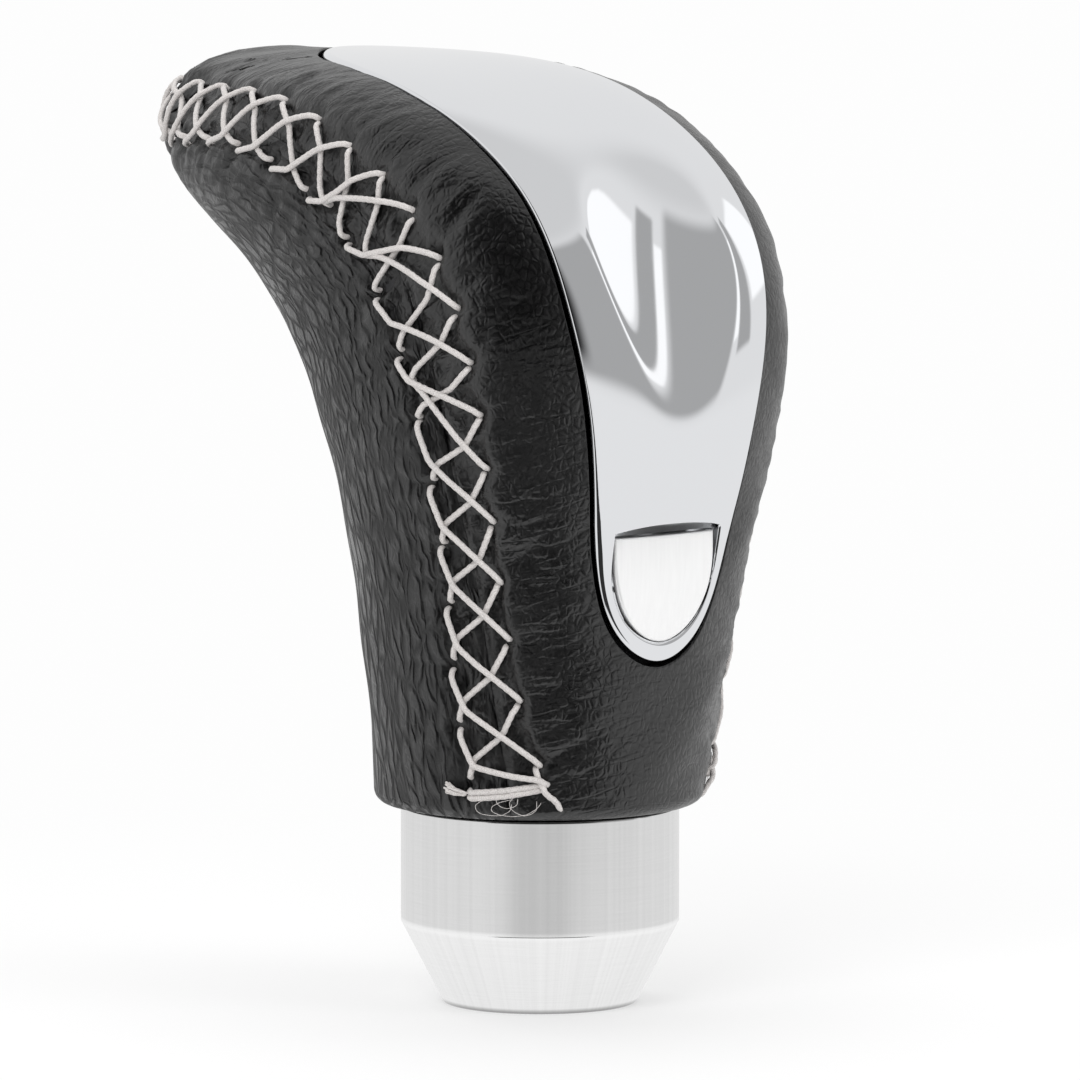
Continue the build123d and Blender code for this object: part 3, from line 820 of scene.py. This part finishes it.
def leatherPoints(place, angle, inset, seed, rolled=0.0):
    points = gripAt(place, angle, inset)
    upSeam, across = seamDistance(place, points)
    out = gripSlopes(np.clip(place, 0.012, 0.985), angle)[2]
    calm = smoothStep(0, 2.0, points[..., 2] - hemZ)       # the rolled hem stays even
    height = leatherHeight(upSeam, across, points, seed) * (0.25 + 0.75 * calm) - rolled
    height = np.where(points[..., 2] - hemZ < 0.05, 0, height)
    return points + out * height[..., None], np.stack([upSeam, across], axis=-1)


place, angle, inset = frontPanelGrid(frontPanel)
flatPoints = gripAt(place, angle)
fromEdge = np.linalg.norm(flatPoints - flatPoints[1:2], axis=-1)
rolled = edgeRoll(fromEdge, frontPanel["edgeRound"])
points, seamMap = leatherPoints(place, angle, inset, frontPanel["seed"], rolled)
frontLeather = addPiece("front_panel", points, leatherMaterial, "knob", "front_leather",
                        seamMap)

rearPanel = {
    "rows": 250, "columns": 170, "crowd": 0.6, "hemRows": 10, "tuck": (3.4, 1.8, 0.7),
    "thick": 0.5, "flat": (0.09, 0.14), "area": 0.0079, "seed": 33,
}


# The rear panel runs from seam to seam round the back, row by row from the hem to the nose
def rearPanelGrid(form):
    hemTop = np.interp(gripForm["hemRound"], gripAt(seamPlace, 0 * seamPlace)[:, 2] - hemZ, seamPlace)
    roll = hemTop * (1 - np.cos(np.linspace(0, math.pi / 2, form["hemRows"], endpoint=False)))
    upSeam = np.linspace(np.interp(hemTop, seamPlace, seamRun), seamRun[-1], form["rows"])
    rest = np.interp(upSeam, seamRun, seamPlace)
    place = np.concatenate([np.zeros(len(form["tuck"])), roll, rest])
    inset = np.concatenate([form["tuck"], np.zeros(len(place) - len(form["tuck"]))])
    start = seamAngleAt(place)[:, None]
    angle = start + (-math.pi - 2 * start) * crowded(form["columns"], form["crowd"])
    place, inset = [np.repeat(part[:, None], form["columns"], axis=1) for part in (place, inset)]
    return place, angle, inset


place, angle, inset = rearPanelGrid(rearPanel)
points, seamMap = leatherPoints(place, angle, inset, rearPanel["seed"])
rearLeather = addPiece("rear_panel", points, leatherMaterial, "knob", "rear_leather",
                       seamMap, ring=False)
print("leather done")

# Badge: a bare shield on a leaning plane, half widths at heights down its side
badge = {
    "centre": (-20.5, 24.8), "middle": (0, 0.8), "lean": 5.0,
    "half": 7.3, "top": 6.2, "side": [(6.8, 0.6), (4.3, -3.9)], "tip": -6.0, "meanHalf": 6.5,
    "recess": 1.0, "seat": 0.1, "fit": 0.35, "crown": 45.0, "rise": 0.5, "edge": 0.25,
    "columns": (40, 40), "rings": 26,
}
badgeLean = math.radians(badge["lean"])
badgeOrigin = np.array([0, badge["centre"][0], badge["centre"][1] + hemZ])
badgeUp = np.array([0, -math.sin(badgeLean), math.cos(badgeLean)])
badgeOut = np.array([0, -math.cos(badgeLean), -math.sin(badgeLean)])


# Half of the shield's outline, from its lower point up the right side to the middle of its straight top
def shieldHalf(sidePoints, topPoints):
    line = np.array([(badge["half"], badge["top"]), *badge["side"], (0, badge["tip"])], float)
    run = runLength(line)
    side = curveThrough(run, line, np.linspace(run[-1], 0, sidePoints, endpoint=False), ([0, -1], [-1, 0]))
    top = np.column_stack([np.linspace(badge["half"], 0, topPoints), np.full(topPoints, badge["top"])])
    return np.vstack([side, top])


def badgePoint(flat, height):
    return (badgeOrigin + flat[..., 0:1] * np.array([1.0, 0, 0]) + flat[..., 1:2] * badgeUp
            + np.asarray(height)[..., None] * badgeOut)


# The dish is what a round bar, bent to a flatter arc than the head, takes from the plate.
# Each point sinks towards the bar's line by as much as it stands above the bar's round
def dishCut(points):
    lowest = plate["headRadius"] + plate["proud"] - plate["dishDepth"]
    turn = math.radians(plate["dishMiddle"])
    facing = np.array([-math.cos(turn), math.sin(turn)])
    centre = np.array(plate["headCentre"]) + (lowest - plate["dishRadius"]) * facing
    way = np.stack([points[..., 1], points[..., 2] - hemZ], axis=-1) - centre
    bearing = np.arctan2(way[..., 1], -way[..., 0])
    bearing = np.clip(bearing, math.radians(plate["dishFrom"]), math.radians(plate["dishTo"]))
    out = np.stack([-np.cos(bearing), np.sin(bearing)], axis=-1)
    above = dot(way, out) - plate["dishRadius"]
    bar = plate["dishRound"] - np.sqrt(plate["dishRound"] ** 2 - points[..., 0] ** 2)
    over = above - bar
    soft = plate["dishSoft"]
    sink = (over + np.sqrt(over ** 2 + soft ** 2)) / 2
    moved = points.copy()
    moved[..., 1] -= out[..., 0] * sink
    moved[..., 2] -= out[..., 1] * sink
    return moved


# The plate is a ring of rays from the shield's outline to the plate's edge, then its wall and its back
def plateGrid(form):
    sideCount, topCount = form["columns"]
    shield = shieldHalf(sideCount, topCount)
    shieldPlane = np.column_stack([shield[:, 0], pressUp(badgePoint(shield, np.zeros(len(shield))))])
    table = np.linspace(0, 0.5, 2000)
    corner = np.interp(shieldPlane[sideCount, 1] + form["cornerRise"], plateEdge(table)[:, 1], table)
    share = np.linspace(0, corner, sideCount, endpoint=False)
    edge = plateEdge(np.append(share, np.linspace(corner, 0.5, topCount)))
    length = np.linalg.norm(edge - shieldPlane, axis=1)
    ring = crowded(form["rings"], form["crowd"])[:, None]
    flat = shieldPlane + (edge - shieldPlane) * ring[..., None]
    x = np.hstack([flat[..., 0], -flat[:, -2:0:-1, 0]])
    up = np.hstack([flat[..., 1], flat[:, -2:0:-1, 1]])
    length = np.concatenate([length, length[-2:0:-1]])
    shield = np.vstack([shield, shield[-2:0:-1] * [-1, 1]])
    place, angle = gripUnder(x, up, -form["proud"])
    points = dishCut(gripAt(place, angle, -form["proud"]))
    out = gripSlopes(place, angle)[2]
    rim = np.minimum(form["rim"], 0.4 * length)
    short = np.clip(1 - length * (1 - ring) / rim, 0, 1)
    lip = np.minimum(form["lip"], 0.2 * length)
    lipShort = np.clip(1 - length * ring / lip, 0, 1)
    sink = rim * (1 - np.sqrt(1 - short ** 2)) + lip * (1 - np.sqrt(1 - lipShort ** 2))
    points = points - out * sink[..., None]
    wall = points[-1] - out[-1] * np.array([0.25, 0.5, 0.75, 1])[:, None, None] * form["wall"]
    spineUp = np.clip(up[-1], form["spineEnd"], form["length"] - form["spineEnd"])
    spine = gripAt(*gripUnder(0 * x[-1], spineUp), form["backDepth"])
    back = wall[-1] + (spine - wall[-1]) * np.array([0.5, 1])[:, None, None]
    depth = np.array([0.25, 0.6, 1])[:, None] * np.ones(len(shield))
    pocket = badgePoint(np.broadcast_to(shield, (3, *shield.shape)), -badge["recess"] * depth)
    middle = badgePoint(np.array([badge["middle"]]), np.array([-badge["recess"]]))
    floor = np.repeat(middle, len(shield), axis=0)[None]
    return np.concatenate([floor, pocket[::-1], points, wall, back])


points = plateGrid(plate)
addPiece("thumb_plate", points, brightChrome(chromeLook), "knob", "chrome_insert")


# The badge is a low dome: a ball's cap cut to the shield, with a small rounded edge and a flat back
def badgeGrid(form):
    half = shieldHalf(*form["columns"])
    shrink = 1 - form["fit"] / form["meanHalf"]
    loop = np.vstack([half, half[-2:0:-1] * [-1, 1]]) * shrink
    ring = np.linspace(0, 1, form["rings"])[:, None, None]
    ring = np.sin(ring * math.pi / 2)
    middle = np.array(form["middle"])
    flat = middle + (loop - middle) * ring
    far = np.linalg.norm(flat, axis=-1)
    dome = form["rise"] - form["crown"] + np.sqrt(form["crown"] ** 2 - far ** 2)
    edge = np.linalg.norm(loop - middle, axis=-1) * (1 - ring[..., 0])
    dome = dome - edgeRoll(edge, form["edge"])
    foot = form["seat"] - form["recess"]
    back = np.stack([loop, 0 * loop + middle])
    flat = np.concatenate([flat, back])
    height = np.concatenate([dome, np.full(back.shape[:2], foot)])
    return badgePoint(flat, height)


points = badgeGrid(badge)
addPiece("shield_badge", points, satinSilver(satinLook), "knob", "badge")

collar = {"footRadius": 10.4, "coneHeight": 8.9, "edge": 0.22, "shoulder": 0.05, "hold": 0.3,
          "floor": 3.0, "hole": 7.5, "wall": 2.4, "around": 256, "steps": 5}


# The collar is a profile turned round the lever's axis: small rounded edges between a foot, a cone and a
# sleeve. Points held just past each edge keep the straight runs evenly shaded
def collarGrid(form):
    bore = collarRadius - form["wall"]
    slope = (collarRadius - form["footRadius"]) / form["coneHeight"]
    boreFoot = form["coneHeight"] + form["wall"] * math.tan(math.atan(slope) / 2)
    taper = bore - (boreFoot - form["floor"]) * slope
    corners = [(form["hole"], form["floor"]), (form["hole"], 0), (form["footRadius"], 0),
               (collarRadius, form["coneHeight"]), (collarRadius, collarTop), (bore, collarTop),
               (bore, boreFoot), (taper, form["floor"])]
    corners = np.array(corners, float)[:, None]
    before, after = [unit(np.roll(corners, step, axis=0) - corners) for step in (1, -1)]
    edge = np.where(corners[..., 1:] == form["coneHeight"], form["shoulder"], form["edge"])
    start, end = corners + before * edge, corners + after * edge
    part = np.linspace(0, 1, form["steps"])[:, None]
    bend = start * (1 - part) ** 2 + 2 * corners * part * (1 - part) + end * part ** 2
    hold = form["hold"] * edge
    profile = np.concatenate([start + before * hold, bend, end + after * hold], axis=1).reshape(-1, 2)
    turn = np.linspace(0, 2 * math.pi, form["around"], endpoint=False)
    grid = np.stack([profile[:, :1] * np.cos(turn), profile[:, :1] * np.sin(turn),
                     np.repeat(profile[:, 1:], len(turn), axis=1)], axis=-1)
    return np.concatenate([grid, grid[:1]])


points = collarGrid(collar)
turned = turnedAluminium(turnedLook, "turnedAluminium")
addPiece("turned_collar", points, turned, "collar", "collar")

# Inner pieces keep their own shapes and get a finish
inner = {
    "threaded_hub": turnedAluminium(turnedLook, "threadedAluminium", threadPitch=0.001),
    "lever_bush": mouldedBlack("bushPlastic", (0.05, 0.05, 0.055), 0.5),
    "grub_screws": mouldedBlack("blackSteel", (0.16, 0.16, 0.17), 0.38, 1.0),
    "knob_core": mouldedBlack("corePlastic", (0.03, 0.03, 0.032), 0.55),
}
for name, material in inner.items():
    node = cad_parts[name]
    node.data.materials.clear()
    node.data.materials.append(material)

# Leather gets its thickness on both panels, which cover the core
for panel, form in ((frontLeather, frontPanel), (rearLeather, rearPanel)):
    thick = panel.modifiers.new("thick", "SOLIDIFY")
    thick.thickness = form["thick"] * mm
    thick.offset = -1

# Floor, lamps, world and camera. What mirrors see of the studio is a list of patches, painted one over
# another: bearing from the front to the right and rise over the horizon, both from and to in degrees,
# softness, strength
stage = {
    "floorSize": 6.0, "floorColour": (0.9, 0.9, 0.9, 1), "floorRough": 0.6, "floorGlow": 0.985,
    "whiteShare": (0.5, 1.0), "shadowReach": (0.0, 0.16),
    "worldColour": (1, 1, 1, 1), "worldLight": 0.5, "mirrorWhite": 0.84,
    "patches": {
        "table": ((-180, 180), (-90, -9), 2, 0.88),
        "ceiling": ((-180, 180), (48, 90), 6, 0.7),
        "room": ((-20, 46), (-6, 46), 2.5, 0.43),
        "haze": ((-66, -14), (-12, 0), 12, 0.6),
        "cameraSide": ((-84, 8), (-1, 80), 4, 0.01),
        "cameraShadow": ((-80, 4), (-44, -11), 2.5, 0.03),
        "stripe": ((47.5, 52), (4, 36), 0.7, 1.15),
        "frame": ((52.5, 62), (0, 42), 1.0, 0.42),
        "softbox": ((64, 87), (9, 37), 1.0, 1.15),
    },
}


# White floor that keeps the object's shadow near it. Mirrors see the studio's table instead
def paleFloor(look):
    mesh = bpy.data.meshes.new("floor")
    half = look["floorSize"]
    corners = [(-half, -half, 0), (half, -half, 0), (half, half, 0), (-half, half, 0)]
    mesh.from_pydata(corners, [], [(0, 1, 2, 3)])
    floor = addObject("floor", mesh)
    floor.visible_glossy = False
    material, tree, place = newMaterial("paleFloor")
    dress(material, {"Base Color": look["floorColour"], "Roughness": look["floorRough"]})
    far = addNode(tree, "VectorMath", place, operation="LENGTH", out="Value")
    share = spread(far, *look["whiteShare"], *look["shadowReach"])
    seen = combine("MULTIPLY", addNode(tree, "LightPath", out="Is Camera Ray"), share)
    white = addNode(tree, "Emission", Strength=look["floorGlow"])
    lit = tree.nodes["Principled BSDF"].outputs["BSDF"]
    setInputs(tree.nodes["Material Output"], {"Surface": addNode(tree, "MixShader", seen, lit, white)})
    mesh.materials.append(material)


# Share of a patch of the studio in a direction: soft edges at both ends of its bearing and of its rise
def patchShare(bearing, rise, spans, soft):
    share = 1.0
    for source, span in zip((bearing, rise), spans):
        for end, inward in zip(span, (1, -1)):
            outer, inner = math.radians(end - inward * soft), math.radians(end + inward * soft)
            edge = spread(source, 0, 1, outer, inner, interpolation_type="SMOOTHSTEP")
            share = combine("MULTIPLY", edge, share)
    return share


# White studio all round for the camera and for light, with its patches for mirrors
def whiteWorld(look):
    world = bpy.data.worlds.new("studio")
    bpy.context.scene.world = world
    world.use_nodes = True
    world.cycles.sampling_method = "NONE"    # only rays that know their kind meet it
    tree = world.node_tree
    way = addNode(tree, "SeparateXYZ", addNode(tree, "TexCoord", out="Generated")).node.outputs
    bearing = combine("ARCTAN2", way["X"], combine("MULTIPLY", way["Y"], -1.0))
    rise = combine("ARCSINE", way["Z"])
    mirrored = look["mirrorWhite"]
    for turns, rises, soft, strength in look["patches"].values():
        share = patchShare(bearing, rise, (turns, rises), soft)
        mirrored = addNode(tree, "Mix", share, None, mirrored, strength)
    ray = addNode(tree, "LightPath").node.outputs
    sight = combine("MAXIMUM", ray["Is Camera Ray"], ray["Is Transmission Ray"])
    plain = spread(sight, look["worldLight"], 1.0)
    strength = addNode(tree, "Mix", ray["Is Glossy Ray"], None, plain, mirrored)
    setInputs(tree.nodes["Background"], {"Color": look["worldColour"], "Strength": strength})


# Softboxes: place, size across and up, power in watts
lamps = {
    "keyBox": ((-0.9, -0.5, 0.9), (0.7, 0.7), 9.0),
    "frontBox": ((0.5, -1.1, 0.5), (0.5, 0.9), 5.0),
    "topBox": ((0.1, 0.3, 1.3), (0.9, 0.9), 8.0),
}
lampAim = Vector((0, 0, 0.055))


def addLamps(boxes):
    for name, (spot, size, power) in boxes.items():
        data = bpy.data.lights.new(name, "AREA")
        data.shape, data.energy = "RECTANGLE", power
        data.size, data.size_y = size
        lamp = addObject(name, data)
        lamp.location = spot
        lamp.visible_glossy = False    # mirrors see the world's patches instead
        lamp.rotation_euler = (lampAim - lamp.location).to_track_quat("-Z", "Y").to_euler()


view = {"azimuth": -40.0, "elevation": 6.5, "distance": 1.5, "lookAt": (0, 0, 0.05), "lens": 465.0,
        "sensor": 36.0, "clip": (0.05, 50)}


def addCamera(look):
    data = bpy.data.cameras.new("camera")
    camera = addObject("camera", data)
    turn, rise = math.radians(look["azimuth"]), math.radians(look["elevation"])
    back = Vector((math.sin(turn) * math.cos(rise), -math.cos(turn) * math.cos(rise), math.sin(rise)))
    camera.location = Vector(look["lookAt"]) + back * look["distance"]
    camera.rotation_euler = (-back).to_track_quat("-Z", "Y").to_euler()
    data.lens, data.sensor_width = look["lens"], look["sensor"]
    data.clip_start, data.clip_end = look["clip"]
    bpy.context.scene.camera = camera


paleFloor(stage)
whiteWorld(stage)
addLamps(lamps)
addCamera(view)
bpy.context.scene.view_settings.view_transform = "Standard"

print("scene done")
